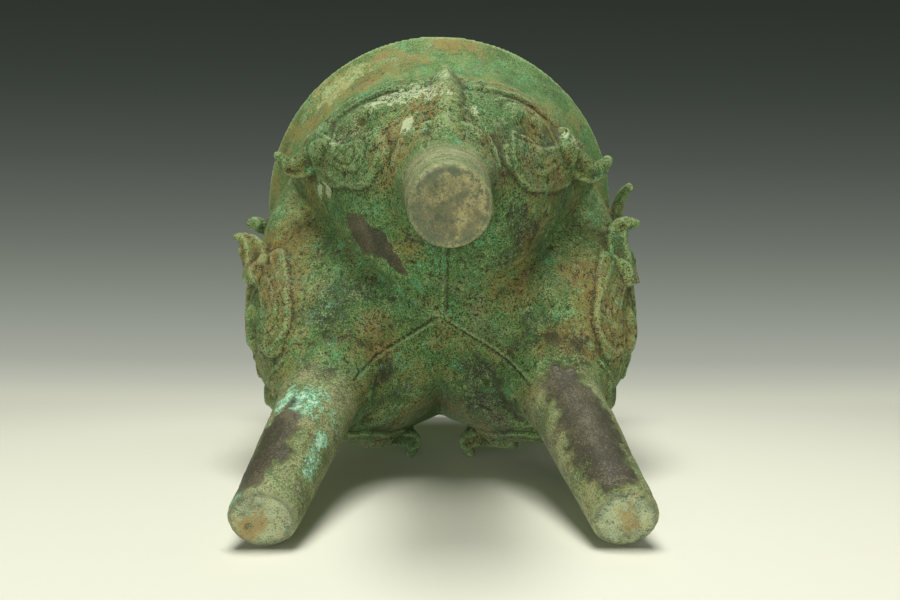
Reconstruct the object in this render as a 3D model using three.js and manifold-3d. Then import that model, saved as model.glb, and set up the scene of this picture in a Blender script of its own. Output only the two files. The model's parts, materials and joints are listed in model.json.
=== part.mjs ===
// Cast bronze tripod vessel with three bag-shaped lobes, each over a solid leg and bearing an animal mask.
// Millimetres, +Z up. The origin is on the vessel's axis, at the level of the feet, and a lobe faces -Y.
import * as THREE from 'three';
import { mergeVertices } from 'three/addons/utils/BufferGeometryUtils.js';
import Module from 'manifold-3d';

// Driving sizes of the vessel
const LOBES = 3;
const HEIGHT = 250;              // feet to rim
const RIM_RADIUS = 113;
const RIM_WIDTH = 4.6;           // flat top of the rim
const WALL = 4;                  // body wall
const NECK_RADIUS = 86.5;
const NECK_HEIGHT = 163;         // level of the narrowest part of the neck
const LOBE_RADIUS = 90.5;        // widest reach of a lobe from the axis
const LOBE_LEVEL = 119;          // level of that widest reach
const LOBE_BOTTOM = 67;          // lowest level of a lobe, beside its leg
const CROTCH_HEIGHT = 82;        // underside of the body on the axis

// Legs
const FOOT_RADIUS = 10.2;
const FOOT_CHAMFER = 0.8;
const FOOT_CIRCLE = 62;          // radius of the circle through the feet's centres
const LEG_SPLAY = THREE.MathUtils.degToRad(6.3);
const LEG_ROOT_RADIUS = 14.5;
const LEG_ROOT_LEVEL = 58;
const LEG_FLARE = 7;             // how far the root spreads into the lobe
const FLARE_LENGTH = 20;
const LEG_INSET = 8;             // how far the leg runs on above the lobe's lowest level

// Mask: places are degrees from the lobe's middle and millimetres along its outline from the crotch
const NOSE_TOP = 138;
const NOSE_BOTTOM = 77;
const NOSE_HALF_WIDTH = 5;
const NOSE_HEIGHT = 5;
const NOSTRIL_REACH = 9;         // degrees
const NOSTRIL_HALF_WIDTH = 3.8;
const NOSTRIL_HEIGHT = 1.4;
const HORN_HALF_WIDTH = 6.8;
const HORN_HEIGHT = 2;
const HORN_PATH = [[7, 107], [14, 114], [24, 117.5], [34, 115], [42, 106]];
const EYE_PATH = [[16.5, 97], [21.5, 98.5], [26.5, 98]];
const EYE_HALF_WIDTH = 5;
const EYE_HEIGHT = 3.3;
const CHEEK_PATH = [[22, 77], [28, 77], [34, 81], [39, 90]];
const CHEEK_HALF_WIDTH = 10;
const CHEEK_HEIGHT = 1.4;
const CURL_PATH = [[19, 86], [20, 74], [27, 67.5], [35, 71.5], [41, 88]];
const CURL_HALF_WIDTH = 2.4;
const CURL_HEIGHT = 1.8;

// Free-standing tips of the horns
const LUG_TIP_RADIUS = 92.5;
const LUG_TIP_LEVEL = 116.5;
const LUG_TIP_ANGLE = 49.5;      // degrees from the lobe's middle
const LUG_ROOT = [33, 103];
const LUG_BEND = [54, 101];
const LUG_BEND_STAND_OFF = 5;
const LUG_HALF_HEIGHT = 5.8;
const LUG_HALF_THICKNESS = 6;
const LUG_TIP_SHARE = 0.3;       // size of the tip against the root

// One of the tips has been bent towards the feet.
const BENT_LOBE = 2;             // lobes are counted from the front one towards +X
const BENT_TIP_RADIUS = 95;
const BENT_TIP_LEVEL = 118;
const BENT_TIP_ANGLE = 43.8;
const BENT_BEND = [45, 101];
const BENT_BEND_STAND_OFF = 4;

// Thin horn that has survived on one side of one lobe
const SPUR_LOBE = 1;
const SPUR_ROOT = [44, 139];
const SPUR_BEND = [53, 137];
const SPUR_BEND_STAND_OFF = 5;
const SPUR_TIP_RADIUS = 96;
const SPUR_TIP_LEVEL = 126.5;
const SPUR_TIP_ANGLE = 58.5;
const SPUR_HALF_HEIGHT = 4;
const SPUR_HALF_THICKNESS = 2.8;
const SPUR_TIP_SHARE = 0.5;

// Stub that is left of the same horn on another lobe
const STUB_LOBE = 2;
const STUB_ROOT = [43, 137];
const STUB_BEND = [44.5, 137];
const STUB_BEND_STAND_OFF = 3;
const STUB_TIP_RADIUS = 92.5;
const STUB_TIP_LEVEL = 135;
const STUB_TIP_ANGLE = 45.5;
const STUB_HALF_SIZE = 3.8;
const STUB_TIP_SHARE = 0.85;

// Casting seams under the body, from the crotch to each leg
const SEAM_HALF_WIDTH = 1.2;
const SEAM_HEIGHT = 0.8;
const SEAM_ENDS = [4, 46];

// How finely the curved surfaces are divided
const BODY_COLUMNS = 60;
const BODY_ROWS = 19;
const CAVITY_COLUMNS = 30;
const CAVITY_ROWS = 14;
const LEG_SIDES = 16;
const LEG_STEPS = 6;
const LUG_STEPS = 5;
const LUG_SIDES = 6;
const STEPS_PER_SPAN = 2;
const SINK = 1.6;                // how deep a relief piece sits in the wall
const CUT_MARGIN = 6;            // how far the cavity runs past the rim

const SLICE = (2 * Math.PI) / LOBES;
const FRONT = -Math.PI / 2;

const wasm = await Module();
wasm.setup();

const mix = (a, b, share) => a + (b - a) * share;
const radians = THREE.MathUtils.degToRad;

// The neck and the flared mouth are the same all round.
const neckOutline = [
  [NECK_RADIUS, NECK_HEIGHT],
  [NECK_RADIUS + 0.5, mix(NECK_HEIGHT, HEIGHT, 0.26)],
  [mix(NECK_RADIUS, RIM_RADIUS, 0.23), mix(NECK_HEIGHT, HEIGHT, 0.56)],
  [mix(NECK_RADIUS, RIM_RADIUS, 0.585), mix(NECK_HEIGHT, HEIGHT, 0.82)],
  [RIM_RADIUS, HEIGHT],
];

// Outline up the middle of a lobe, and up the crease between two lobes: matching points lie on one ring.
const belly = (share) => LOBE_RADIUS * share;
const low = (share) => mix(LOBE_BOTTOM, CROTCH_HEIGHT, share);
const high = (share) => mix(LOBE_BOTTOM, LOBE_LEVEL, share);
const shoulder = (share) => mix(LOBE_LEVEL, NECK_HEIGHT, share);
const lobeOutline = [
  [0, CROTCH_HEIGHT],
  [belly(0.243), low(0.77)],
  [belly(0.464), low(0.33)],
  [belly(0.641), LOBE_BOTTOM],
  [belly(0.807), high(0.135)],
  [belly(0.934), high(0.42)],
  [belly(0.989), high(0.73)],
  [LOBE_RADIUS, LOBE_LEVEL],
  [mix(LOBE_RADIUS, NECK_RADIUS, 0.25), shoulder(0.35)],
  [mix(LOBE_RADIUS, NECK_RADIUS, 0.75), shoulder(0.66)],
  ...neckOutline,
];
const crease = (radiusShare, levelShare) => [
  NECK_RADIUS * radiusShare,
  mix(CROTCH_HEIGHT, NECK_HEIGHT, levelShare),
];
const creaseOutline = [
  crease(0, 0),
  crease(0.173, 0.018),
  crease(0.364, 0.079),
  crease(0.532, 0.235),
  crease(0.676, 0.407),
  crease(0.803, 0.556),
  crease(0.902, 0.679),
  crease(0.965, 0.79),
  crease(0.994, 0.901),
  crease(0.999, 0.97),
  ...neckOutline,
];
const RINGS = lobeOutline.length - 1;

const curveThrough = (points) => new THREE.SplineCurve(points.map(([r, z]) => new THREE.Vector2(r, z)));
const lobeCurve = curveThrough(lobeOutline);
const creaseCurve = curveThrough(creaseOutline);

// Radius and level at an angle from the lobe's middle. Each ring is an arc round a centre off the axis.
function ringPoint(angle, ring) {
  const middle = lobeCurve.getPoint(ring / RINGS);
  const valley = creaseCurve.getPoint(ring / RINGS);
  const reach = middle.x;
  const dip = Math.min(valley.x, reach);
  const offset = (reach ** 2 - dip ** 2) / Math.max(2 * reach - dip, 1e-9);
  const arc = reach - offset;
  const side = offset * Math.sin(angle);
  const radius = offset * Math.cos(angle) + Math.sqrt(Math.max(arc ** 2 - side ** 2, 0));
  const depth = reach - dip;
  const evenShare = (1 + Math.cos(LOBES * angle)) / 2;
  const share = depth > 0.3 ? THREE.MathUtils.clamp((radius - dip) / depth, 0, 1) : evenShare;
  return [radius, mix(valley.y, middle.y, share)];
}

// Angle from the middle of the nearest lobe
function lobeAngle(azimuth) {
  const turns = (azimuth - FRONT) / SLICE;
  return (turns - Math.round(turns)) * SLICE;
}

function bodyPoint(azimuth, ring) {
  const [radius, level] = ringPoint(lobeAngle(azimuth), ring);
  return new THREE.Vector3(radius * Math.cos(azimuth), radius * Math.sin(azimuth), level);
}

// Outward normal of the body, from small steps round and up
function bodyNormal(azimuth, ring) {
  const step = 0.004;
  const safeRing = THREE.MathUtils.clamp(ring, 0.05, RINGS - 0.05);
  const around = bodyPoint(azimuth + step, safeRing).sub(bodyPoint(azimuth - step, safeRing));
  const upward = bodyPoint(azimuth, safeRing + step).sub(bodyPoint(azimuth, safeRing - step));
  return around.cross(upward).normalize();
}

// Distance along the lobe's outline from the crotch, and the ring found there
const outlineLengths = [0];
const SAMPLES = 700;
for (let i = 1; i <= SAMPLES; i += 1) {
  const here = lobeCurve.getPoint(i / SAMPLES);
  const before = lobeCurve.getPoint((i - 1) / SAMPLES);
  outlineLengths.push(outlineLengths[i - 1] + here.distanceTo(before));
}

function ringAt(length) {
  const i = outlineLengths.findIndex((value) => value >= length);
  const share = (length - outlineLengths[i - 1]) / (outlineLengths[i] - outlineLengths[i - 1]);
  return ((i - 1 + share) / SAMPLES) * RINGS;
}

// A closed solid through a list of rings that all have the same number of points
function loft(rings) {
  const sides = rings[0].length;
  const points = rings.flat();
  const faces = [];
  for (let k = 0; k + 1 < rings.length; k += 1) {
    for (let i = 0; i < sides; i += 1) {
      const a = k * sides + i;
      const b = k * sides + ((i + 1) % sides);
      faces.push([a, b, b + sides], [a, b + sides, a + sides]);
    }
  }
  const middle = (ring) => ring.reduce((sum, p) => sum.add(p), new THREE.Vector3()).divideScalar(sides);
  const last = (rings.length - 1) * sides;
  points.push(middle(rings[0]), middle(rings[rings.length - 1]));
  for (let i = 0; i < sides; i += 1) {
    const next = (i + 1) % sides;
    faces.push([points.length - 2, next, i], [points.length - 1, last + i, last + next]);
  }
  return solid(points, faces);
}

// Merges shared corners, turns the faces outward and hands the mesh over for joining and cutting.
function solid(points, faces) {
  const geometry = new THREE.BufferGeometry();
  const corners = new Float32Array(points.flatMap((p) => [p.x, p.y, p.z]));
  geometry.setAttribute('position', new THREE.BufferAttribute(corners, 3));
  const volume = faces.reduce((sum, [a, b, c]) => {
    return sum + points[a].dot(new THREE.Vector3().crossVectors(points[b], points[c]));
  }, 0);
  geometry.setIndex(faces.flatMap(([a, b, c]) => (volume > 0 ? [a, b, c] : [a, c, b])));
  const merged = mergeVertices(geometry, 1e-5);
  const index = merged.index.array;
  const kept = [];
  for (let i = 0; i < index.length; i += 3) {
    const [a, b, c] = [index[i], index[i + 1], index[i + 2]];
    if (a !== b && b !== c && c !== a) kept.push(a, b, c);
  }
  return new wasm.Manifold(new wasm.Mesh({
    numProp: 3,
    vertProperties: merged.attributes.position.array,
    triVerts: new Uint32Array(kept),
  }));
}

// Body without its hollow: rings from the crotch to the rim, closed by a flat disc
function bodySolid() {
  const rings = [];
  for (let k = 0; k <= BODY_ROWS; k += 1) {
    const ring = (k / BODY_ROWS) * RINGS;
    const row = [];
    for (let i = 0; i < BODY_COLUMNS; i += 1) {
      row.push(bodyPoint(FRONT + (i / BODY_COLUMNS) * 2 * Math.PI, ring));
    }
    rings.push(row);
  }
  return loft(rings);
}

// Hollow of the body: the outer surface set in by the wall, run on past the rim
function cavitySolid() {
  const rings = [];
  for (let k = 0; k <= CAVITY_ROWS; k += 1) {
    const ring = (k / CAVITY_ROWS) * RINGS;
    const row = [];
    for (let i = 0; i < CAVITY_COLUMNS; i += 1) {
      const azimuth = FRONT + (i / CAVITY_COLUMNS) * 2 * Math.PI;
      const point = bodyPoint(azimuth, ring);
      if (k === 0) point.z += WALL;
      else if (k < CAVITY_ROWS) point.addScaledVector(bodyNormal(azimuth, ring), -WALL);
      else point.multiply(new THREE.Vector3(1 - RIM_WIDTH / RIM_RADIUS, 1 - RIM_WIDTH / RIM_RADIUS, 1));
      row.push(point);
    }
    rings.push(row);
  }
  rings.push(rings[CAVITY_ROWS].map((p) => new THREE.Vector3(p.x, p.y, HEIGHT + CUT_MARGIN)));
  return loft(rings);
}

// Leg: round, leaning outward, tapering to a flat foot and spreading into the lobe
function legSolid(azimuth) {
  const top = LOBE_BOTTOM + LEG_INSET;
  const levels = [0, FOOT_CHAMFER];
  for (let k = 1; k <= LEG_STEPS; k += 1) levels.push(mix(FOOT_CHAMFER, top, (k / LEG_STEPS) ** 0.4));
  const rings = levels.map((level) => {
    const spread = THREE.MathUtils.clamp((level - top + FLARE_LENGTH) / FLARE_LENGTH, 0, 1);
    const chamfer = level === 0 ? FOOT_CHAMFER : 0;
    const taper = mix(FOOT_RADIUS, LEG_ROOT_RADIUS, level / LEG_ROOT_LEVEL);
    const radius = taper + LEG_FLARE * spread ** 2 - chamfer;
    const centre = FOOT_CIRCLE - level * Math.tan(LEG_SPLAY);
    const row = [];
    for (let i = 0; i < LEG_SIDES; i += 1) {
      const turn = (i / LEG_SIDES) * 2 * Math.PI;
      const out = centre + radius * Math.cos(turn);
      const across = radius * Math.sin(turn);
      const x = out * Math.cos(azimuth) - across * Math.sin(azimuth);
      const y = out * Math.sin(azimuth) + across * Math.cos(azimuth);
      row.push(new THREE.Vector3(x, y, level));
    }
    return row;
  });
  return loft(rings);
}

// A raised band that follows the body along a path of [degrees, length], narrower towards its ends
function band(azimuth, path, halfWidth, height, endShare = 0.35) {
  const curve = curveThrough(path);
  const steps = (path.length - 1) * STEPS_PER_SPAN;
  const rings = [];
  for (let k = 0; k <= steps; k += 1) {
    const t = k / steps;
    const spot = curve.getPoint(t);
    const [radius] = ringPoint(radians(spot.x), ringAt(spot.y));
    const along = curve.getTangent(t);
    const across = new THREE.Vector2(-along.y, radians(along.x) * radius).normalize();
    const swell = mix(endShare, 1, Math.sin(Math.PI * t) ** 0.7);
    const half = halfWidth * swell;
    const rise = height * mix(1, swell, 0.4);
    const rightHalf = [[0.62, rise], [1, rise * 0.4], [1.1, -SINK]];
    const leftHalf = rightHalf.map(([share, up]) => [-share, up]).reverse();
    rings.push([...leftHalf, ...rightHalf].map(([share, up]) => {
      const angle = radians(spot.x) + (share * half * across.x) / radius;
      const ring = ringAt(spot.y + share * half * across.y);
      return bodyPoint(azimuth + angle, ring).addScaledVector(bodyNormal(azimuth + angle, ring), up);
    }));
  }
  return loft(rings);
}

// A curved prong that leaves the surface at its root, passes a bend and ends in a tip off the surface
function prong(azimuth, side, root, bend, standOff, tipPlace, halfHeight, halfThickness, tipShare) {
  const place = ([angle, length], off) => {
    const spot = [azimuth + side * radians(angle), ringAt(length)];
    return bodyPoint(...spot).addScaledVector(bodyNormal(...spot), off);
  };
  const [tipRadius, tipLevel, tipAngle] = tipPlace;
  const tipAzimuth = azimuth + side * radians(tipAngle);
  const tip = new THREE.Vector3(Math.cos(tipAzimuth), Math.sin(tipAzimuth), 0).multiplyScalar(tipRadius);
  tip.z = tipLevel;
  const spine = new THREE.QuadraticBezierCurve3(place(root, 0), place(bend, standOff), tip);
  const rings = [];
  for (let k = 0; k <= LUG_STEPS; k += 1) {
    const t = k / LUG_STEPS;
    const centre = spine.getPoint(t);
    const along = spine.getTangent(t);
    const outward = new THREE.Vector3(centre.x, centre.y, 0).normalize();
    const flat = outward.addScaledVector(along, -outward.dot(along)).normalize();
    const upright = new THREE.Vector3().crossVectors(along, flat);
    const size = mix(1, tipShare, t ** 2.4);
    const row = [];
    for (let i = 0; i < LUG_SIDES; i += 1) {
      const turn = (i / LUG_SIDES) * 2 * Math.PI;
      row.push(centre.clone()
        .addScaledVector(flat, halfThickness * size * Math.cos(turn))
        .addScaledVector(upright, halfHeight * size * Math.sin(turn)));
    }
    rings.push(row);
  }
  return loft(rings);
}

function lug(azimuth, side, isBent) {
  const tip = isBent
    ? [BENT_TIP_RADIUS, BENT_TIP_LEVEL, BENT_TIP_ANGLE]
    : [LUG_TIP_RADIUS, LUG_TIP_LEVEL, LUG_TIP_ANGLE];
  const bend = isBent ? BENT_BEND : LUG_BEND;
  const standOff = isBent ? BENT_BEND_STAND_OFF : LUG_BEND_STAND_OFF;
  return prong(azimuth, side, LUG_ROOT, bend, standOff, tip, LUG_HALF_HEIGHT, LUG_HALF_THICKNESS, LUG_TIP_SHARE);
}

function spur() {
  return prong(FRONT + SPUR_LOBE * SLICE, -1, SPUR_ROOT, SPUR_BEND, SPUR_BEND_STAND_OFF,
    [SPUR_TIP_RADIUS, SPUR_TIP_LEVEL, SPUR_TIP_ANGLE], SPUR_HALF_HEIGHT, SPUR_HALF_THICKNESS, SPUR_TIP_SHARE);
}

function stub() {
  return prong(FRONT + STUB_LOBE * SLICE, 1, STUB_ROOT, STUB_BEND, STUB_BEND_STAND_OFF,
    [STUB_TIP_RADIUS, STUB_TIP_LEVEL, STUB_TIP_ANGLE], STUB_HALF_SIZE, STUB_HALF_SIZE, STUB_TIP_SHARE);
}

// Mask of one lobe: nose and nostrils in the middle, a horn with its tip, an eye and a cheek on each side
function maskSolids(lobe) {
  const azimuth = FRONT + lobe * SLICE;
  const pieces = [
    band(azimuth, [[0, NOSE_BOTTOM], [0, mix(NOSE_BOTTOM, NOSE_TOP, 0.5)], [0, NOSE_TOP]],
      NOSE_HALF_WIDTH, NOSE_HEIGHT, 0.5),
    band(azimuth, [[-NOSTRIL_REACH, NOSE_BOTTOM], [0, NOSE_BOTTOM + 2], [NOSTRIL_REACH, NOSE_BOTTOM]],
      NOSTRIL_HALF_WIDTH, NOSTRIL_HEIGHT),
    band(azimuth, [[0, SEAM_ENDS[0]], [0, SEAM_ENDS[1]]], SEAM_HALF_WIDTH, SEAM_HEIGHT),
  ];
  for (const side of [-1, 1]) {
    const mirrored = (path) => path.map(([angle, length]) => [side * angle, length]);
    pieces.push(
      band(azimuth, mirrored(HORN_PATH), HORN_HALF_WIDTH, HORN_HEIGHT),
      band(azimuth, mirrored(EYE_PATH), EYE_HALF_WIDTH, EYE_HEIGHT, 0.2),
      band(azimuth, mirrored(CHEEK_PATH), CHEEK_HALF_WIDTH, CHEEK_HEIGHT, 0.5),
      band(azimuth, mirrored(CURL_PATH), CURL_HALF_WIDTH, CURL_HEIGHT, 0.5),
      lug(azimuth, side, lobe === BENT_LOBE && side === 1),
    );
  }
  return pieces;
}

function vesselSolid() {
  let whole = bodySolid().add(spur()).add(stub());
  for (let k = 0; k < LOBES; k += 1) {
    const azimuth = FRONT + k * SLICE;
    for (const piece of [legSolid(azimuth), ...maskSolids(k)]) whole = whole.add(piece);
  }
  return whole.subtract(cavitySolid());
}

function geometryOf(manifold) {
  const { numProp, vertProperties, triVerts } = manifold.getMesh();
  const geometry = new THREE.BufferGeometry();
  const corners = new Float32Array((vertProperties.length / numProp) * 3);
  for (let i = 0; i < corners.length / 3; i += 1) {
    for (let axis = 0; axis < 3; axis += 1) corners[i * 3 + axis] = vertProperties[i * numProp + axis];
  }
  geometry.setAttribute('position', new THREE.BufferAttribute(corners, 3));
  geometry.setIndex(new THREE.BufferAttribute(new Uint32Array(triVerts), 1));
  geometry.computeVertexNormals();
  return geometry;
}

const bronze = new THREE.MeshStandardMaterial({ color: 0x6f8256, roughness: 0.85, metalness: 0.35 });
bronze.name = 'patinated bronze';

const vessel = new THREE.Mesh(geometryOf(vesselSolid()), bronze);
vessel.name = 'vessel';

const group = new THREE.Group();
group.add(vessel);

export default group;
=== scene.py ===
"""Bronze tripod vessel: one casting with its masks, crust and patina, lying on a pale paper sweep."""
import json
import math

import bpy
import numpy as np
from mathutils import Matrix, Vector, noise

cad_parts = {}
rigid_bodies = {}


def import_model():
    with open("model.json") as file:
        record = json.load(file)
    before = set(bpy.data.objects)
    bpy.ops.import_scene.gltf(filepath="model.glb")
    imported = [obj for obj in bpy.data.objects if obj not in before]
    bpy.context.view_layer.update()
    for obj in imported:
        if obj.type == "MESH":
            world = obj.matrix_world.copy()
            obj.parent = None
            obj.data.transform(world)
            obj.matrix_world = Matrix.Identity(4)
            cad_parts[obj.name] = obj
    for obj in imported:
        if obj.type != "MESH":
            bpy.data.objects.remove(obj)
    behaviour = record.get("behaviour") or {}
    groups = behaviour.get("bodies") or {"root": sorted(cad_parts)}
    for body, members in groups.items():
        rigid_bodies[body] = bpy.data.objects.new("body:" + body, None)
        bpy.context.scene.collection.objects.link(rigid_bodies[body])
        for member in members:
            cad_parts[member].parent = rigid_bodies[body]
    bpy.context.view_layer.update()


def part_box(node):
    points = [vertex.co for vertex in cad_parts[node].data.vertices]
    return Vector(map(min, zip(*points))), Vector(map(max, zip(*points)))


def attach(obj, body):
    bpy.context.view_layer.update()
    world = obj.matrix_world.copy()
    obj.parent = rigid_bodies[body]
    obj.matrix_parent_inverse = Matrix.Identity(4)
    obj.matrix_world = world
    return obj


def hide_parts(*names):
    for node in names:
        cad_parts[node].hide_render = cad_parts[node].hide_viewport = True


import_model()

MM = 0.001

# Sizes of the casting, in millimetres, as the CAD piece has them
LOW, HIGH = (np.array(corner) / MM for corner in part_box("vessel"))
HEIGHT = HIGH[2]
RIM_RADIUS = HIGH[1]
RIM_WIDTH = 4.6
WALL = 4.0
NECK_RADIUS = 86.5
NECK_HEIGHT = 163.0
LOBE_RADIUS = 90.5
LOBE_LEVEL = 119.0
LOBE_BOTTOM = 67.0
CROTCH_HEIGHT = 82.0
FOOT_RADIUS = 10.2
FOOT_CHAMFER = 0.8
FOOT_CIRCLE = 62.0
LEG_SPLAY = math.radians(6.3)
LEG_ROOT_RADIUS = 14.5
LEG_ROOT_LEVEL = 58.0
LEG_FLARE = 7.0
FLARE_LENGTH = 20.0
LEG_INSET = 8.0

# Fineness of the mesh
VOXEL = 0.95
OUTSIDE_TRIANGLES = 172000

# Azimuths of the middles of the lobes and their legs: the front one, the right one and the left one
FRONT = -math.pi / 2
SLICE = 2 * math.pi / 3
LOBE_AZIMUTHS = [FRONT + k * SLICE for k in range(3)]


def mix(a, b, share):
    return a + (b - a) * share


def smooth(low, high, value):
    """0 below low, 1 above high, with a soft step between"""
    share = np.clip((value - low) / (high - low), 0, 1)
    return share * share * (3 - 2 * share)


# Outlines up the middle of a lobe and up the crease between two lobes, ring by ring
NECK_OUTLINE = [
    (NECK_RADIUS, NECK_HEIGHT),
    (NECK_RADIUS + 0.5, mix(NECK_HEIGHT, HEIGHT, 0.26)),
    (mix(NECK_RADIUS, RIM_RADIUS, 0.23), mix(NECK_HEIGHT, HEIGHT, 0.56)),
    (mix(NECK_RADIUS, RIM_RADIUS, 0.585), mix(NECK_HEIGHT, HEIGHT, 0.82)),
    (RIM_RADIUS, HEIGHT),
]
LOBE_SHARES = [
    (0, CROTCH_HEIGHT),
    (0.243, mix(LOBE_BOTTOM, CROTCH_HEIGHT, 0.77)),
    (0.464, mix(LOBE_BOTTOM, CROTCH_HEIGHT, 0.33)),
    (0.641, LOBE_BOTTOM),
    (0.807, mix(LOBE_BOTTOM, LOBE_LEVEL, 0.135)),
    (0.934, mix(LOBE_BOTTOM, LOBE_LEVEL, 0.42)),
    (0.989, mix(LOBE_BOTTOM, LOBE_LEVEL, 0.73)),
    (1, LOBE_LEVEL),
]
SHOULDER_SHARES = [(0.25, 0.35), (0.75, 0.66)]
CREASE_SHARES = [
    (0, 0), (0.173, 0.018), (0.364, 0.079), (0.532, 0.235), (0.676, 0.407),
    (0.803, 0.556), (0.902, 0.679), (0.965, 0.79), (0.994, 0.901), (0.999, 0.97),
]
LOBE_OUTLINE = np.array(
    [(LOBE_RADIUS * share, level) for share, level in LOBE_SHARES]
    + [(mix(LOBE_RADIUS, NECK_RADIUS, a), mix(LOBE_LEVEL, NECK_HEIGHT, b)) for a, b in SHOULDER_SHARES]
    + NECK_OUTLINE)
CREASE_OUTLINE = np.array(
    [(NECK_RADIUS * a, mix(CROTCH_HEIGHT, NECK_HEIGHT, b)) for a, b in CREASE_SHARES] + NECK_OUTLINE)
RINGS = len(LOBE_OUTLINE) - 1


def curve_point(points, place):
    """Point of a smooth curve through points, place counting from 0 at the first"""
    place = np.asarray(place, float)
    last = len(points) - 1
    first = np.clip(np.floor(place).astype(int), 0, last - 1)
    share = (place - first)[..., None]
    p0, p1, p2, p3 = (points[np.clip(first + k, 0, last)] for k in (-1, 0, 1, 2))
    start = (p2 - p0) / 2
    end = (p3 - p1) / 2
    cubic = 2 * p1 - 2 * p2 + start + end
    square = -3 * p1 + 3 * p2 - 2 * start - end
    return cubic * share ** 3 + square * share ** 2 + start * share + p1


def ring_point(angle, ring):
    """Radius and level at an angle from a lobe's middle; its ring is an arc round a centre off the axis"""
    middle = curve_point(LOBE_OUTLINE, ring)
    valley = curve_point(CREASE_OUTLINE, ring)
    reach = middle[..., 0]
    dip = np.minimum(valley[..., 0], reach)
    offset = (reach ** 2 - dip ** 2) / np.maximum(2 * reach - dip, 1e-9)
    arc = reach - offset
    radius = offset * np.cos(angle) + np.sqrt(np.maximum(arc ** 2 - (offset * np.sin(angle)) ** 2, 0))
    depth = reach - dip
    share = np.where(depth > 0.3, np.clip((radius - dip) / np.maximum(depth, 1e-9), 0, 1),
                     (1 + np.cos(3 * angle)) / 2)
    return radius, mix(valley[..., 1], middle[..., 1], share)


def lobe_angle(azimuth):
    turns = (azimuth - FRONT) / SLICE
    return (turns - np.round(turns)) * SLICE


def body_point(azimuth, ring):
    radius, level = ring_point(lobe_angle(azimuth), ring)
    return np.stack([radius * np.cos(azimuth), radius * np.sin(azimuth), level], -1)


def body_normal(azimuth, ring):
    step = 0.004
    ring = np.clip(ring, 0.05, RINGS - 0.05)
    around = body_point(azimuth + step, ring) - body_point(azimuth - step, ring)
    upward = body_point(azimuth, ring + step) - body_point(azimuth, ring - step)
    normal = np.cross(around, upward)
    return normal / np.linalg.norm(normal, axis=-1, keepdims=True)


RING_TABLE = np.linspace(0, RINGS, 701)
OUTLINE_TABLE = curve_point(LOBE_OUTLINE, RING_TABLE)
LENGTH_TABLE = np.concatenate([[0], np.cumsum(np.hypot(*np.diff(OUTLINE_TABLE, axis=0).T))])


def ring_at(length):
    return np.interp(length, LENGTH_TABLE, RING_TABLE)


def chart(points):
    """Lobe angle, length along the outline at the nearest body point, and distance from the axis"""
    radius = np.hypot(points[:, 0], points[:, 1])
    angle = lobe_angle(np.arctan2(points[:, 1], points[:, 0]))
    best = np.zeros(len(points))
    gap = np.full(len(points), 1e12)

    def keep_nearer(ring):
        reach, level = ring_point(angle, ring)
        away = (reach - radius) ** 2 + (level - points[:, 2]) ** 2
        closer = away < gap
        best[closer] = ring[closer]
        gap[closer] = away[closer]

    for ring in np.linspace(0, RINGS, 71):
        keep_nearer(np.full(len(points), ring))
    for step in (0.1, 0.05, 0.025, 0.0125, 0.006):
        for move in (-step, step):
            keep_nearer(np.clip(best + move, 0, RINGS))
    return angle, np.interp(best, RING_TABLE, LENGTH_TABLE), radius


def path_distance(angle, length, radius, path):
    """Distance in millimetres to a smooth path of (degrees, length), and the share of the path passed"""
    points = np.array(path, float)
    fine = curve_point(points, np.linspace(0, len(points) - 1, 10 * (len(points) - 1) + 1))
    nearest = np.full(len(angle), 1e9)
    passed = np.zeros(len(angle))
    for k, (start, end) in enumerate(zip(fine[:-1], fine[1:])):
        across = (angle - math.radians(start[0])) * radius
        up = length - start[1]
        run = math.radians(end[0] - start[0]) * radius
        rise = end[1] - start[1]
        share = np.clip((across * run + up * rise) / np.maximum(run ** 2 + rise ** 2, 1e-9), 0, 1)
        gap = np.hypot(across - share * run, up - share * rise)
        closer = gap < nearest
        nearest[closer] = gap[closer]
        passed[closer] = (k + share[closer]) / (len(fine) - 1)
    return nearest, passed


# Mask, one side of it: paths of (degrees from the lobe's middle, length along its outline), sizes in mm
NOSE_PATH = [(0, 77), (0, 108), (0, 138)]
NOSTRIL_PATH = [(0, 79), (5, 78.5), (8.5, 76.5)]
HORN_PATH = [(7, 107), (14, 114), (24, 117.5), (34, 115), (42, 106)]
HORN_LINE = [(11, 109), (17, 113), (25, 116), (33, 113.5), (39, 106)]
EYE_PATH = [(18.5, 97), (21.5, 98), (25, 97.5)]
LID_PATH = [(12.5, 99), (17, 104.5), (24, 105.5), (31, 101), (34, 95)]
HOOK_LINES = [
    [(13, 104), (11.8, 95), (13.6, 86), (20, 82.5), (27, 85.5)],
    [(15.2, 101), (14.2, 94), (16, 88.5), (21, 86.5), (26, 89)],
]
CHEEK_PATH = [(24, 77), (30, 77.5), (35, 82), (39, 90)]
CURL_PATH = [(19, 86), (20, 74), (27, 67.5), (35, 71.5), (40, 84), (42, 93)]
CURL_LINES = [
    [(23, 84.5), (23.6, 77), (28, 72.5), (33.5, 75.5), (37, 84), (38.5, 92)],
    [(26.5, 85), (27.3, 79.5), (30, 77), (33, 80.5), (35, 87)],
    [(29.5, 87), (30.5, 82.5), (32, 86.5)],
]
JAW_PATH = [(7.5, 87), (11, 80), (14, 73), (17, 67.5)]
TOP_CURL = [(5, 118), (9, 126), (16, 129), (21, 126), (18, 122.5), (14.5, 124)]
SEAM_PATH = [(0, 3), (0, 24), (0, 46)]
PUPIL = (21.5, 98.0)

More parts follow.
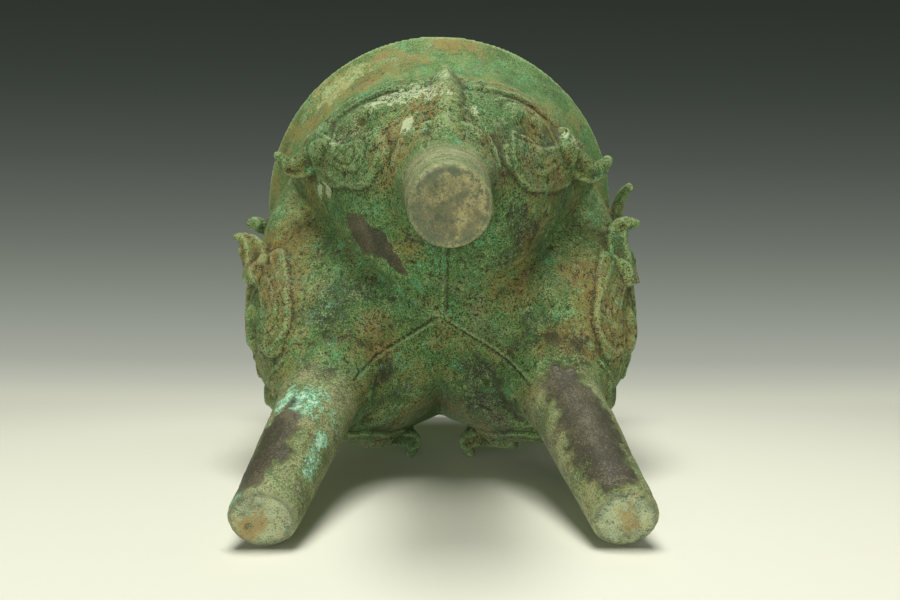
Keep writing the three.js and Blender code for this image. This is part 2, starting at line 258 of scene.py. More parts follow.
# Heights, depths and half widths of the relief, in mm
CHEEK_HEIGHT = 1.3
CHEEK_HALF_WIDTH = 9.6
CURL_HEIGHT = 1.7
CURL_HALF_WIDTH = 2.1
HORN_HEIGHT = 1.5
HORN_HALF_WIDTH = 7.2
HORN_RIM_HEIGHT = 0.4
EYE_HEIGHT = 2.6
EYE_REACH = 7.0
PUPIL_DEPTH = 0.4
LID_HEIGHT = 0.7
LID_HALF_WIDTH = 1.5
TOP_CURL_HEIGHT = 0.6
JAW_HEIGHT = 0.5
THIN_HALF_WIDTH = 1.3
NOSE_HEIGHTS = (3.0, 5.6)
NOSE_HALF_WIDTHS = (7.0, 4.4)
NOSTRIL_HEIGHT = 1.2
NOSTRIL_REACH = 4.2
LINE_DEPTH = 0.6
CURL_LINE_DEPTH = 0.45
LINE_HALF_WIDTH = 0.7
SEAM_HEIGHT = 0.6
SEAM_HALF_WIDTH = 1.4
SEAM_LINE_DEPTH = 0.7
SEAM_LINE_SHIFT = 1.0
LEDGE_HEIGHT = 0.5
LEDGE_HALF_WIDTH = 2.4


def hump(distance, half_width, edge):
    """Flat-topped ridge with an edge of the given width"""
    return 1 - smooth(half_width - edge, half_width, distance)


def seam_line(angle, length, radius):
    """Thin line beside the casting seam that runs from the crotch to a leg"""
    beside = np.abs(angle * radius - SEAM_LINE_SHIFT)
    return hump(beside, LINE_HALF_WIDTH, 0.6) * (1 - smooth(44, 50, length)) * smooth(1, 4, length)


def mask_relief(angle, length, radius):
    """Height of the masks' relief over the plain lobe"""
    side = np.abs(angle)

    def passing(path):
        return path_distance(side, length, radius, path)

    def gap_to(path):
        return passing(path)[0]

    def cut(path):
        return hump(gap_to(path), LINE_HALF_WIDTH, LINE_HALF_WIDTH)

    relief = CHEEK_HEIGHT * hump(gap_to(CHEEK_PATH), CHEEK_HALF_WIDTH, 1.4)
    gap, passed = passing(CURL_PATH)
    curl = CURL_HEIGHT * hump(gap, CURL_HALF_WIDTH, 1.5) * smooth(0, 0.05, passed)
    relief = np.maximum(relief, curl)
    for path in CURL_LINES:
        relief -= CURL_LINE_DEPTH * cut(path)

    gap, passed = passing(HORN_PATH)
    width = HORN_HALF_WIDTH * np.sin(np.pi * np.clip(passed * 0.94 + 0.05, 0, 1)) ** 0.4
    rim = hump(np.abs(gap - width + 1.5), 1.3, 0.8) * (gap < width)
    relief = np.maximum(relief, HORN_HEIGHT * hump(gap, width, 1.6) + HORN_RIM_HEIGHT * rim)
    relief -= LINE_DEPTH * cut(HORN_LINE)
    relief = np.maximum(relief, TOP_CURL_HEIGHT * hump(gap_to(TOP_CURL), THIN_HALF_WIDTH, 1.1))

    relief = relief + EYE_HEIGHT * (1 - smooth(0.5, EYE_REACH, gap_to(EYE_PATH)))
    across = np.abs(side - math.radians(PUPIL[0])) * radius
    relief -= PUPIL_DEPTH * hump(across, 2.6, 0.8) * hump(np.abs(length - PUPIL[1]), 0.9, 0.7)
    relief = relief + LID_HEIGHT * hump(gap_to(LID_PATH), LID_HALF_WIDTH, 1.3)
    for path in HOOK_LINES:
        relief -= LINE_DEPTH * cut(path)
    relief = np.maximum(relief, JAW_HEIGHT * hump(gap_to(JAW_PATH), THIN_HALF_WIDTH, 1.1))

    gap, passed = passing(NOSE_PATH)
    ridge = np.clip(1 - gap / mix(*NOSE_HALF_WIDTHS, passed), 0, 1)
    relief = np.maximum(relief, mix(*NOSE_HEIGHTS, passed) * ridge ** 0.85 * smooth(1.0, 0.95, passed))
    nostril = 1 - smooth(0.5, NOSTRIL_REACH, gap_to(NOSTRIL_PATH))
    relief = np.maximum(relief, NOSTRIL_HEIGHT * nostril)

    seam = np.clip(1 - gap_to(SEAM_PATH) / SEAM_HALF_WIDTH, 0, 1)
    relief = np.maximum(relief, SEAM_HEIGHT * seam)
    relief -= SEAM_LINE_DEPTH * seam_line(angle, length, radius)
    crease_gap = (SLICE / 2 - side) * radius
    ledge = LEDGE_HEIGHT * np.clip(1 - crease_gap / LEDGE_HALF_WIDTH, 0, 1)
    return relief + ledge * (1 - smooth(120, 150, length))


def loft(rings):
    """Corners and faces of a closed solid through rings with the same number of points"""
    rings = np.array(rings)
    count, sides = rings.shape[:2]
    corners = np.concatenate([rings.reshape(-1, 3), rings[:1].mean(1), rings[-1:].mean(1)])
    faces = []
    for k in range(count - 1):
        for i in range(sides):
            a, b = k * sides + i, k * sides + (i + 1) % sides
            faces.append((a, b, b + sides, a + sides))
    low, high = count * sides, count * sides + 1
    for i in range(sides):
        j = (i + 1) % sides
        faces.append((low, j, i))
        faces.append((high, (count - 1) * sides + i, (count - 1) * sides + j))
    return corners, faces


def body_rings(columns, rows, inset=0.0):
    """Rings from the crotch to the rim, on the body's outside or inset for its hollow"""
    azimuths = FRONT + np.arange(columns) / columns * 2 * math.pi
    rings = []
    for k in range(rows + 1):
        ring = np.full(columns, k / rows * RINGS)
        row = body_point(azimuths, ring)
        if inset and k == 0:
            row = row + (0, 0, inset)
        elif inset and k < rows:
            row = row - inset * body_normal(azimuths, ring)
        elif inset:
            row = row * (1 - RIM_WIDTH / RIM_RADIUS, 1 - RIM_WIDTH / RIM_RADIUS, 1)
        if k == 0:
            row = row + 0.02 * np.stack([np.cos(azimuths), np.sin(azimuths), 0 * azimuths], -1)
        rings.append(row)
    return rings


def leg_rings(azimuth):
    """Rings of a solid leg from its foot to the level where it ends inside the lobe's wall"""
    steps, sides = 46, 72
    top = LOBE_BOTTOM + LEG_INSET
    turns = np.arange(sides) / sides * 2 * math.pi
    rings = []
    for level in [0, FOOT_CHAMFER] + [mix(FOOT_CHAMFER, top, k / steps) for k in range(1, steps + 1)]:
        spread = np.clip((level - top + FLARE_LENGTH) / FLARE_LENGTH, 0, 1)
        radius = mix(FOOT_RADIUS, LEG_ROOT_RADIUS, level / LEG_ROOT_LEVEL) + LEG_FLARE * spread ** 2
        radius -= FOOT_CHAMFER if level == 0 else 0
        out = FOOT_CIRCLE - level * math.tan(LEG_SPLAY) + radius * np.cos(turns)
        across = radius * np.sin(turns)
        x = out * math.cos(azimuth) - across * math.sin(azimuth)
        y = out * math.sin(azimuth) + across * math.cos(azimuth)
        rings.append(np.stack([x, y, np.full(sides, float(level))], -1))
    return rings


# Free-standing prongs, sizes in mm: root and bend as (degrees, length), tip as (radius, level, degrees)
EAR = {
    "root": (33, 103), "bend": (54, 101), "stand_off": 5.0, "tip": (92.5, 116.5, 49.5),
    "half_height": 5.8, "half_thickness": 6.0, "tip_share": 0.3,
}
BENT_EAR = {**EAR, "bend": (45, 101), "stand_off": 4.0, "tip": (95.0, 118.0, 43.8)}
BENT_LOBE = 2
SPUR = {
    "root": (44, 139), "bend": (53, 137), "stand_off": 5.0, "tip": (96.0, 126.5, 58.5),
    "half_height": 4.0, "half_thickness": 2.8, "tip_share": 0.5,
}
SPUR_LOBE = 1
STUB = {
    "root": (43, 137), "bend": (44.5, 137), "stand_off": 3.0, "tip": (92.5, 135.0, 45.5),
    "half_height": 3.8, "half_thickness": 3.8, "tip_share": 0.85,
}
STUB_LOBE = 2


def prong_rings(azimuth, side, root, bend, stand_off, tip, half_height, half_thickness, tip_share):
    """Curved prong that leaves the lobe and stands off it, with a groove along the face towards the feet"""
    steps, sides = 34, 48

    def place(spot, off):
        where = azimuth + side * math.radians(spot[0]), ring_at(spot[1])
        return body_point(*where) + off * body_normal(*where)

    tip_radius, tip_level, tip_angle = tip
    tip_azimuth = azimuth + side * math.radians(tip_angle)
    end = np.array([math.cos(tip_azimuth) * tip_radius, math.sin(tip_azimuth) * tip_radius, tip_level])
    start, middle = place(root, 0), place(bend, stand_off)
    turns = (np.arange(sides) + 0.5) / sides * 2 * math.pi
    rings = []
    for k in range(steps + 1):
        t = k / steps
        centre = (1 - t) ** 2 * start + 2 * t * (1 - t) * middle + t ** 2 * end
        along = (1 - t) * (middle - start) + t * (end - middle)
        along /= np.linalg.norm(along)
        outward = np.array([centre[0], centre[1], 0.0])
        flat = outward - along * outward.dot(along)
        flat /= np.linalg.norm(flat)
        upright = np.cross(along, flat)
        size = mix(1, tip_share, t ** 2.4)
        foot_side = 1 if upright[2] < 0 else -1
        notch = np.exp(-((foot_side * np.sin(turns) - 1) / 0.12) ** 2)
        groove = 1 - 0.36 * notch * smooth(0.1, 0.3, t) * (1 - smooth(0.8, 1, t))
        rings.append(centre + np.outer(half_thickness * size * np.cos(turns), flat)
                     + np.outer(half_height * size * np.sin(turns) * groove, upright))
    return rings


def mesh_object(name, parts):
    """One object from several closed solids in millimetres"""
    corners, faces = [], []
    for part_corners, part_faces in parts:
        start = sum(len(c) for c in corners)
        corners.append(part_corners)
        faces += [tuple(start + i for i in face) for face in part_faces]
    mesh = bpy.data.meshes.new(name)
    mesh.from_pydata((np.concatenate(corners) * MM).tolist(), [], faces)
    mesh.update()
    made = bpy.data.objects.new(name, mesh)
    bpy.context.collection.objects.link(made)
    return made


def apply_modifier(target, kind, **settings):
    """Adds one modifier, bakes its result into the mesh and removes it"""
    modifier = target.modifiers.new(kind, kind)
    for key, value in settings.items():
        setattr(modifier, key, value)
    graph = bpy.context.evaluated_depsgraph_get()
    result = bpy.data.meshes.new_from_object(target.evaluated_get(graph))
    target.modifiers.clear()
    old = target.data
    target.data = result
    bpy.data.meshes.remove(old)


def corners_of(mesh):
    flat = np.empty(len(mesh.vertices) * 3, np.float32)
    mesh.vertices.foreach_get("co", flat)
    return flat.reshape(-1, 3).astype(float) / MM


def normals_of(mesh):
    flat = np.empty(len(mesh.vertices) * 3, np.float32)
    mesh.vertices.foreach_get("normal", flat)
    return flat.reshape(-1, 3).astype(float)


def set_corners(mesh, corners):
    mesh.vertices.foreach_set("co", (corners * MM).astype(np.float32).ravel())
    mesh.update()


def fractal(corners, scale, octaves, seed):
    """Fractal noise over points in mm, about -1 to 1, with features of the given size"""
    shift = Vector((seed, seed * 0.7 + 3.1, seed * 1.3 - 5.7))
    spots = (corners / scale).tolist()
    return np.array([noise.fractal(Vector(p) + shift, 1.0, 2.0, octaves) for p in spots])


def blot(corners, path, radii, ragged, soft, seed):
    """Mask of a patch round a line of points in mm, with a ragged edge"""
    path = np.array(path, float)
    radii = np.broadcast_to(np.array(radii, float), len(path))
    near = np.linalg.norm(corners - path.mean(0), axis=1) < radii.max() * 1.8 + np.ptp(path, axis=0).max()
    mask = np.zeros(len(corners))
    spots = corners[near]
    if not len(spots):
        return mask
    best = np.full(len(spots), 9.0)
    if len(path) == 1:
        best = np.linalg.norm(spots - path[0], axis=1) / radii[0]
    for start, end, low, high in zip(path[:-1], path[1:], radii[:-1], radii[1:]):
        run = end - start
        share = np.clip((spots - start) @ run / max(run @ run, 1e-9), 0, 1)
        gap = np.linalg.norm(spots - start - share[:, None] * run, axis=1)
        best = np.minimum(best, gap / mix(low, high, share))
    best += ragged * fractal(spots, max(2.5, radii.max() * 0.5), 3, seed)
    mask[near] = 1 - smooth(1 - soft, 1 + soft, best)
    return mask


def blots(corners, patches, **settings):
    """Several patches as one mask"""
    mask = np.zeros(len(corners))
    for k, (path, radii, strength) in enumerate(patches):
        mask = np.maximum(mask, strength * blot(corners, path, radii, seed=3.0 * k, **settings))
    return mask


# Patches of the patina and of painted shade, in mm from the vessel's origin: path, radii and strength
BARE_DARK = [
    ([(-36.0, -36.0, 88.0), (-31.5, -32.5, 85.0), (-26.5, -31.0, 80.8)], [4.5, 8.6, 6.0], 1),
    ([(-25.8, -31.5, 80), (-20.1, -24.6, 79.7), (-16.6, -19.6, 80.4)], [4.4, 2.8, 1.9], 1),
]
LEG_DARK = [
    ([(-58.5, 21.5, 8), (-57, 20, 20), (-54.5, 17.5, 33)], [6.0, 8.5, 5.5], 1),
    ([(-53, 14.5, 41)], [3.6], 0.9),
    ([(44.5, 15.5, 58), (48.0, 17.5, 43), (49.0, 19.5, 27), (51.0, 21.5, 9)], [6.5, 9.0, 9.0, 7.0], 1),
]
# Painted shade: mottled dark patches under the body, round the crotch, in the valleys between lobes and
# between the leg roots
UNDERSIDE_SHADE_PATCHES = [
    ([(26.6, -39.3, 78), (33.7, -32.0, 86)], [6.5, 6.0], 1.3),
    ([(26.4, -25.9, 82.5), (30, -28, 84)], [4.5, 4.0], 1.2),
    ([(-39, -11, 83), (-50, 0, 78)], [8, 9], 0.8),
    ([(-37.6, -14.0, 84.6)], [5], 0.9),
    ([(-21.7, 19.5, 77), (-33, 30, 72)], [3.5, 5.5], 1.0),
    ([(-20, 35, 77), (-24, 44, 80)], [9, 10], 0.95),
    ([(15, 26, 78), (24, 42, 76)], [9, 12], 1.15),
    ([(14, 40, 90), (20, 52, 100)], [11, 11], 0.85),
    ([(38.5, 4.5, 76), (50, 8, 78)], [8, 10], 0.9),
    ([(46, 16, 60), (48, 12, 68)], [10, 9], 1.0),
    ([(-26, -46, 82)], [4], 0.6),
    ([(-52, 13, 58), (-43, 17, 60)], [4, 4], 1.4),
    ([(40, 18, 62), (52, 12, 64)], [4, 5], 1.2),
]
WHITE_CRUST = [
    ([(-26, -80, 97), (-15, -84, 94), (-6, -86, 95)], [5.5, 6.5, 5.0], 0.72),
    ([(-6, -84.5, 89.5), (0.5, -84, 86)], [3.4, 3.2], 0.7),
    ([(-13.3, -73.0, 77.0)], [2.6], 0.9),
    ([(-46.8, -46.5, 100.7)], [3.2], 0.9),
    ([(-13.8, -75.8, 80.1)], [2.6], 1),
    ([(-51.4, -45.9, 108.5)], [3.6], 1),
    ([(9.5, -80, 84)], [2.4], 0.8),
    ([(45, -72, 104), (53, -66, 108)], [2.6, 2.4], 0.8),
    ([(-30, -76, 100)], [3.5], 0.55),
    ([(-3, -91, 108), (0, -92, 96)], [3.5, 3.0], 0.6),
    ([(-44, 21, 50), (-48, 27, 28)], [5, 4], 0.5),
    ([(57, 31, 44), (58, 35, 12)], [4, 5], 0.5),
    ([(-34, -72, 94), (-44, -66, 100)], [4, 4], 0.5),
    ([(28, -76, 98), (36, -72, 96)], [3, 3], 0.5),
    ([(-46, 22, 49), (-44, 19, 55)], [4.5, 3.0], 0.45),
]
TAN_CRUST = [
    ([(-66, -80, 238), (-52, -92, 240)], [11, 9], 0.72),
    ([(-84, -66, 240), (-72, -82, 246)], [5, 6], 0.5),
    ([(40, -98, 243), (70, -82, 244)], [4, 4], 0.35),
]
TURQUOISE = [
    ([(-51, 17, 42), (-52, 18.5, 36)], [7.5, 5.5], 1),
    ([(-46, 15.5, 47)], [5.0], 0.8),
    ([(-41.5, 22.5, 30), (-43.5, 26, 14)], [3.2, 3.0], 0.8),
    ([(-60, 24, 6), (-58, 27, 1)], [5, 5], 0.6),
    ([(-40, 24, 40)], [4.5], 0.55),
]
OCHRE_CRUST = [
    ([(0, -79, 84), (8, -76, 81)], [9, 7], 0.95),
    ([(-21, -56, 72), (-15, -68, 74), (0, -75, 77), (15, -68, 74), (21, -56, 72)], [5, 7, 8, 7, 5], 0.95),
    ([(38, -66, 90), (46, -52, 92)], [6, 6], 0.6),
    ([(-12, -70, 77), (-26, -64, 76)], [8, 8], 0.6),
    ([(24, -72, 84), (30, -72, 92)], [8, 7], 0.7),
    ([(0, 54, 106), (0, 44, 96)], [10, 8], 0.8),
    ([(35, 28, 65), (40, 18, 66)], [10, 8], 0.8),
    ([(-40, 6, 74), (-30, 8, 76)], [10, 8], 0.7),
    ([(8, -14, 80), (24, -10, 82)], [6, 10], 0.7),
    ([(-14, -26, 79)], [8], 0.7),
    ([(-70, -72, 226), (-20, -98, 234)], [9, 9], 0.75),
    ([(60, -66, 216), (84, -40, 214)], [9, 9], 0.6),
    ([(68, 8, 88), (72, 0, 100)], [9, 9], 0.6),
    ([(50, 26, 12), (42, 28, 30)], [5, 5], 0.6),
    ([(-60, 14, 62), (-68, 6, 74)], [9, 9], 0.55),
    ([(-56, 31, 0), (-57, 34, 0)], [4.5, 4], 1),
    ([(55, 34, 0), (52, 28, 0)], [3.5, 3.5], 0.8),
    ([(48, 12, 54), (52, 4, 66)], [6, 8], 0.7),
    ([(44, 6, 74), (55, 6, 72)], [8, 7], 0.9),
    ([(-2, -60, 76), (-20, -52, 78)], [7, 9], 0.6),
    ([(-34, -102, 243), (0, -108, 243), (34, -102, 243)], [6, 8, 6], 0.6),
]

# Pits in the casting: place, radius and depth in mm
HOLES = [
    (body_point(LOBE_AZIMUTHS[2] + math.radians(45.0), ring_at(142)), 2.6, 3.2),
    (np.array([35.9, 43.7, 71.7]), 1.7, 2.6),
    (np.array([-57.5, 33.5, 0]), 1.3, 1.2),
    (np.array([5.5, -12.0, 80.0]), 1.1, 1.2),
    (np.array([-3.0, -4.0, 82.0]), 1.2, 1.4),
    (np.array([44.0, -20.0, 85.0]), 1.2, 1.2),
]

# Roughness of the surface: size of the features and their depth, in mm
GRAIN = (2.2, 0.17)
LUMPS = (8.0, 0.34)
DENTS = (34.0, 0.5)
PITS = (3.2, 0.5)
BARE_DEPTH = 0.5


def dimple(corners, place, radius):
    """1 at a place, falling to 0 at the radius"""
    gap = np.linalg.norm(corners - place, axis=1) / radius
    return np.sqrt(np.clip(1 - gap ** 2, 0, 1))


def outside_displacement(corners):
    """Relief, crust, dents and pits, along the normals"""
    angle, length, radius = chart(corners)
    on_body = smooth(58, 70, corners[:, 2] + 0.35 * (radius - 40))
    wander = fractal(corners, 16, 2, 4.0)
    relief = mask_relief(angle + wander * 0.005, length + wander * 0.7, radius)
    worn = 1 - 0.3 * smooth(0.05, 0.6, fractal(corners, 13, 2, 9.0))
    low_body = 1 - smooth(150, 165, corners[:, 2])
    crusty = mix(0.4, 1.0, low_body) * mix(0.6, 1.0, smooth(50, 72, corners[:, 2]))
    grain = fractal(corners, GRAIN[0], 2, 1.0) * GRAIN[1]
    lumps = fractal(corners, LUMPS[0], 3, 2.0) * LUMPS[1]
    dents = fractal(corners, DENTS[0], 2, 3.0) * DENTS[1]
    pits = -PITS[1] * smooth(0.38, 0.62, fractal(corners, PITS[0], 2, 7.0))
    edge = smooth(0, 2.5, corners[:, 2]) * (1 - smooth(HEIGHT - 3, HEIGHT, corners[:, 2]))
    smoothed = 1 - 0.85 * blots(corners, BARE_DARK + LEG_DARK, ragged=0.34, soft=0.3)
    crust = crusty * (grain + lumps + pits) * smoothed - BARE_DEPTH * (1 - smoothed)
    holes = sum(depth * dimple(corners, place, reach) ** 0.7 for place, reach, depth in HOLES)
    return relief * worn * on_body + (crust + dents) * mix(0.25, 1.0, edge) - holes


def build_vessel():
    solids = [loft(body_rings(360, 190))]
    for lobe, azimuth in enumerate(LOBE_AZIMUTHS):
        solids.append(loft(leg_rings(azimuth)))
        for side in (-1, 1):
            shape = BENT_EAR if lobe == BENT_LOBE and side == 1 else EAR
            solids.append(loft(prong_rings(azimuth, side, **shape)))
    solids.append(loft(prong_rings(LOBE_AZIMUTHS[SPUR_LOBE], -1, **SPUR)))
    solids.append(loft(prong_rings(LOBE_AZIMUTHS[STUB_LOBE], 1, **STUB)))
    vessel = mesh_object("bronze_vessel", solids)
    apply_modifier(vessel, "REMESH", mode="VOXEL", voxel_size=VOXEL * MM, use_smooth_shade=True)

    corners = corners_of(vessel.data)
    corners += normals_of(vessel.data) * outside_displacement(corners)[:, None]
    set_corners(vessel.data, np.clip(corners, LOW, HIGH))

    triangles = sum(len(face.vertices) - 2 for face in vessel.data.polygons)
    apply_modifier(vessel, "DECIMATE", ratio=min(1, OUTSIDE_TRIANGLES / triangles))

    hollow_rings = body_rings(150, 76, WALL)
    hollow_rings.append(hollow_rings[-1] * np.array([1, 1, 0]) + (0, 0, HEIGHT + 6))
    hollow = mesh_object("hollow", [loft(hollow_rings)])
    apply_modifier(vessel, "BOOLEAN", operation="DIFFERENCE", solver="MANIFOLD", object=hollow)
    bpy.data.objects.remove(hollow)
    # The cut can leave the box by a rounding error
    set_corners(vessel.data, np.clip(corners_of(vessel.data), LOW, HIGH))
    vessel.data.polygons.foreach_set("use_smooth", [True] * len(vessel.data.polygons))
    return vessel


# Rounds of smoothing against which the bulges of the surface are measured
SMOOTHING_TURNS = 12
FINE_TURN = 2


def bulges(mesh, corners, normals):
    """Height of each corner over its wide surroundings and over its close ones, in mm"""
    edges = np.empty(len(mesh.edges) * 2, np.int32)
    mesh.edges.foreach_get("vertices", edges)
    first, second = edges.reshape(-1, 2).T
    count = np.bincount(edges, minlength=len(corners))[:, None]
    level = corners.copy()
    for turn in range(SMOOTHING_TURNS):
        total = np.zeros_like(level)
        for axis in range(3):
            total[:, axis] = (np.bincount(first, level[second, axis], len(corners))
                              + np.bincount(second, level[first, axis], len(corners)))
        level = 0.4 * level + 0.6 * total / count
        if turn == FINE_TURN:
            fine = ((corners - level) * normals).sum(1)
    broad = ((corners - level) * normals).sum(1)
    return broad, fine


def paint(vessel):
    """Masks of the patina, and of painted shade, as attributes of the corners"""
    mesh = vessel.data
    corners = corners_of(mesh)
    normals = normals_of(mesh)
    broad, fine = bulges(mesh, corners, normals)
    angle, length, radius = chart(corners)
    crease_gap = (SLICE / 2 - np.abs(angle)) * np.hypot(corners[:, 0], corners[:, 1])
    line = (1 - smooth(0.8, 2.2, crease_gap)) * (1 - smooth(120, 150, length)) * (corners[:, 2] > 60)
    line = np.maximum(line, smooth(HEIGHT - 1.6, HEIGHT - 0.6, corners[:, 2]))
    azimuth, ring = np.arctan2(corners[:, 1], corners[:, 0]), ring_at(length)
    depth = ((body_point(azimuth, ring) - corners) * body_normal(azimuth, ring)).sum(1)
    hollow = smooth(1.6, 2.6, depth) * (corners[:, 2] > LOBE_BOTTOM)
    foot = (1 - smooth(0.2, 0.9, corners[:, 2])) * (normals[:, 2] < -0.5)
    low_body = 1 - smooth(140, 175, corners[:, 2])
    above_legs = smooth(55, 75, corners[:, 2])
    holes = np.max([dimple(corners, place, 0.95 * reach) for place, reach, _ in HOLES], axis=0)
    seams = seam_line(angle, length, radius) * (corners[:, 2] > LOBE_BOTTOM - 4)
    middles = [FOOT_CIRCLE * np.array([math.cos(a), math.sin(a)]) for a in LOBE_AZIMUTHS]
    foot_gap = np.min([np.linalg.norm(corners[:, :2] - middle, axis=1) for middle in middles], axis=0)
    masks = {
        # Bulging corners score high and get paler wear; hollow corners score low and get painted shade; the
        # creases between lobes and the rim's top edge are raised by 0.3
        "wear_and_recess_shade": np.clip(0.5 + np.clip(broad, -0.25, 0.30) * 0.6 + fine * 1.0 + 0.3 * line, 0, 1),
        "hollow": hollow,
        "foot": foot,
        "pale foot": 0.75 * foot * (corners[:, 1] > 0),
        "crust": mix(0.25, 1.0, low_body) * mix(0.75, 1.0, above_legs),
        # Painted shade: near black in the pits and, at 0.6, in the groove beside the seams
        "pit_and_groove_shade": np.maximum(holes, 0.6 * seams),
        "foot edge": foot * smooth(0.70, 0.90, foot_gap / FOOT_RADIUS),
        "bare": np.maximum(blots(corners, BARE_DARK, ragged=0.25, soft=0.12),
                           blots(corners, LEG_DARK, ragged=0.6, soft=0.45)),
        "leg": 1 - smooth(52, 68, corners[:, 2]),
        # Painted shade under the body
        "underside_shade": blots(corners, UNDERSIDE_SHADE_PATCHES, ragged=0.8, soft=0.5),
        "white": blots(corners, WHITE_CRUST, ragged=0.7, soft=0.3),
        "tan": blots(corners, TAN_CRUST, ragged=0.8, soft=0.4),
        "turquoise": blots(corners, TURQUOISE, ragged=0.8, soft=0.35),
        "ochre": blots(corners, OCHRE_CRUST, ragged=0.8, soft=0.6),
    }
    for name, values in masks.items():
        attribute = mesh.attributes.new(name, "FLOAT", "POINT")
        attribute.data.foreach_set("value", values.astype(np.float32))


def linear(red, green, blue):
    """Scene colour of a screen colour given as 0 to 255"""
    return tuple(((v / 255 + 0.055) / 1.055) ** 2.4 if v > 10 else v / 255 / 12.92
                 for v in (red, green, blue)) + (1,)


class Nodes:
    """Short ways to add the nodes that the materials use"""

    def __init__(self, name):
        self.material = bpy.data.materials.new(name)
        self.material.use_nodes = True
        self.tree = self.material.node_tree
        self.tree.nodes.clear()

    def add(self, kind, inputs, output=0, **settings):
        node = self.tree.nodes.new(kind)
        for key, value in settings.items():
            setattr(node, key, value)
        for key, value in inputs.items():
            if isinstance(value, bpy.types.NodeSocket):
                self.tree.links.new(value, node.inputs[key])
            else:
                node.inputs[key].default_value = value
        return node.outputs[output] if node.outputs else None

    def attribute(self, name):
        return self.add("ShaderNodeAttribute", {}, "Fac", attribute_name=name)

    def noise(self, size, detail=2.0, roughness=0.5, seed=0.0, distortion=0.0):
        """Noise whose features are about the given number of mm wide"""
        if not hasattr(self, "where"):
            self.where = self.add("ShaderNodeTexCoord", {}, "Object")
        return self.add("ShaderNodeTexNoise", {
            "Vector": self.where, "W": seed, "Scale": 1 / (size * MM), "Detail": detail,
            "Roughness": roughness, "Distortion": distortion}, noise_dimensions="4D")

    def step(self, value, low, high, top=1.0):
        """Soft step from 0 at low to the top at high"""
        return self.add("ShaderNodeMapRange", {
            "Value": value, "From Min": low, "From Max": high, "To Max": top},
            interpolation_type="SMOOTHSTEP")

    def math(self, operation, a, b=0.0, c=0.0):
        return self.add("ShaderNodeMath", {0: a, 1: b, 2: c}, operation=operation)

    def blend(self, factor, a, b):
        return self.add("ShaderNodeMix", {0: factor, 6: a, 7: b}, 2, data_type="RGBA")


# Share of a screen colour's light that the lights of the scene bring out
SHADE = 0.88

# Tones of the patina as screen colours, 0 to 255
DARK_GREEN = (56, 86, 44)
MID_GREEN = (96, 134, 76)
PALE_GREEN = (138, 160, 106)
BRIGHT_GREEN = (84, 148, 94)
WORN_GREEN = (142, 160, 110)
OCHRE = (148, 122, 66)
RUST = (100, 72, 38)
GREY_GREEN = (106, 114, 86)
# Painted shade laid in recesses and grooves
RECESS_SHADE_BROWN = (60, 58, 36)
# Painted shade under the body, grey and, where strongest, deeper
PAINTED_SHADE_GREY = (50, 56, 42)
DEEP_PAINTED_SHADE = (42, 44, 34)
DOT_BLACK = (28, 30, 20)
# Painted shade in pits and grooves
PIT_SHADE_BLACK = (26, 24, 16)
LEG_OLIVE = (118, 120, 82)
LEG_PALE = (160, 164, 124)
LEG_BROWN = (88, 78, 48)
TAN = (160, 166, 112)
TURQUOISE_DEEP = (126, 190, 160)
TURQUOISE_PALE = (196, 214, 180)
BARE_METAL = (56, 54, 42)
BARE_WORN = (100, 96, 74)
WHITE = (182, 196, 156)
FOOT_GREY = (104, 104, 76)
FOOT_TAN = (154, 148, 104)
FOOT_DARK = (68, 68, 52)
FOOT_PALE = (168, 182, 146)
FOOT_GREEN = (84, 92, 68)
FOOT_EDGE = (86, 98, 76)
FOOT_OCHRE = (150, 124, 72)
INNER_GREEN = (72, 86, 56)
INNER_BROWN = (92, 80, 52)


def seen(red, green, blue):
    """Surface colour that shows as the given screen colour, 0 to 255, under the soft light"""
    return tuple(min(v / SHADE, 0.9) for v in linear(red, green, blue)[:3]) + (1,)


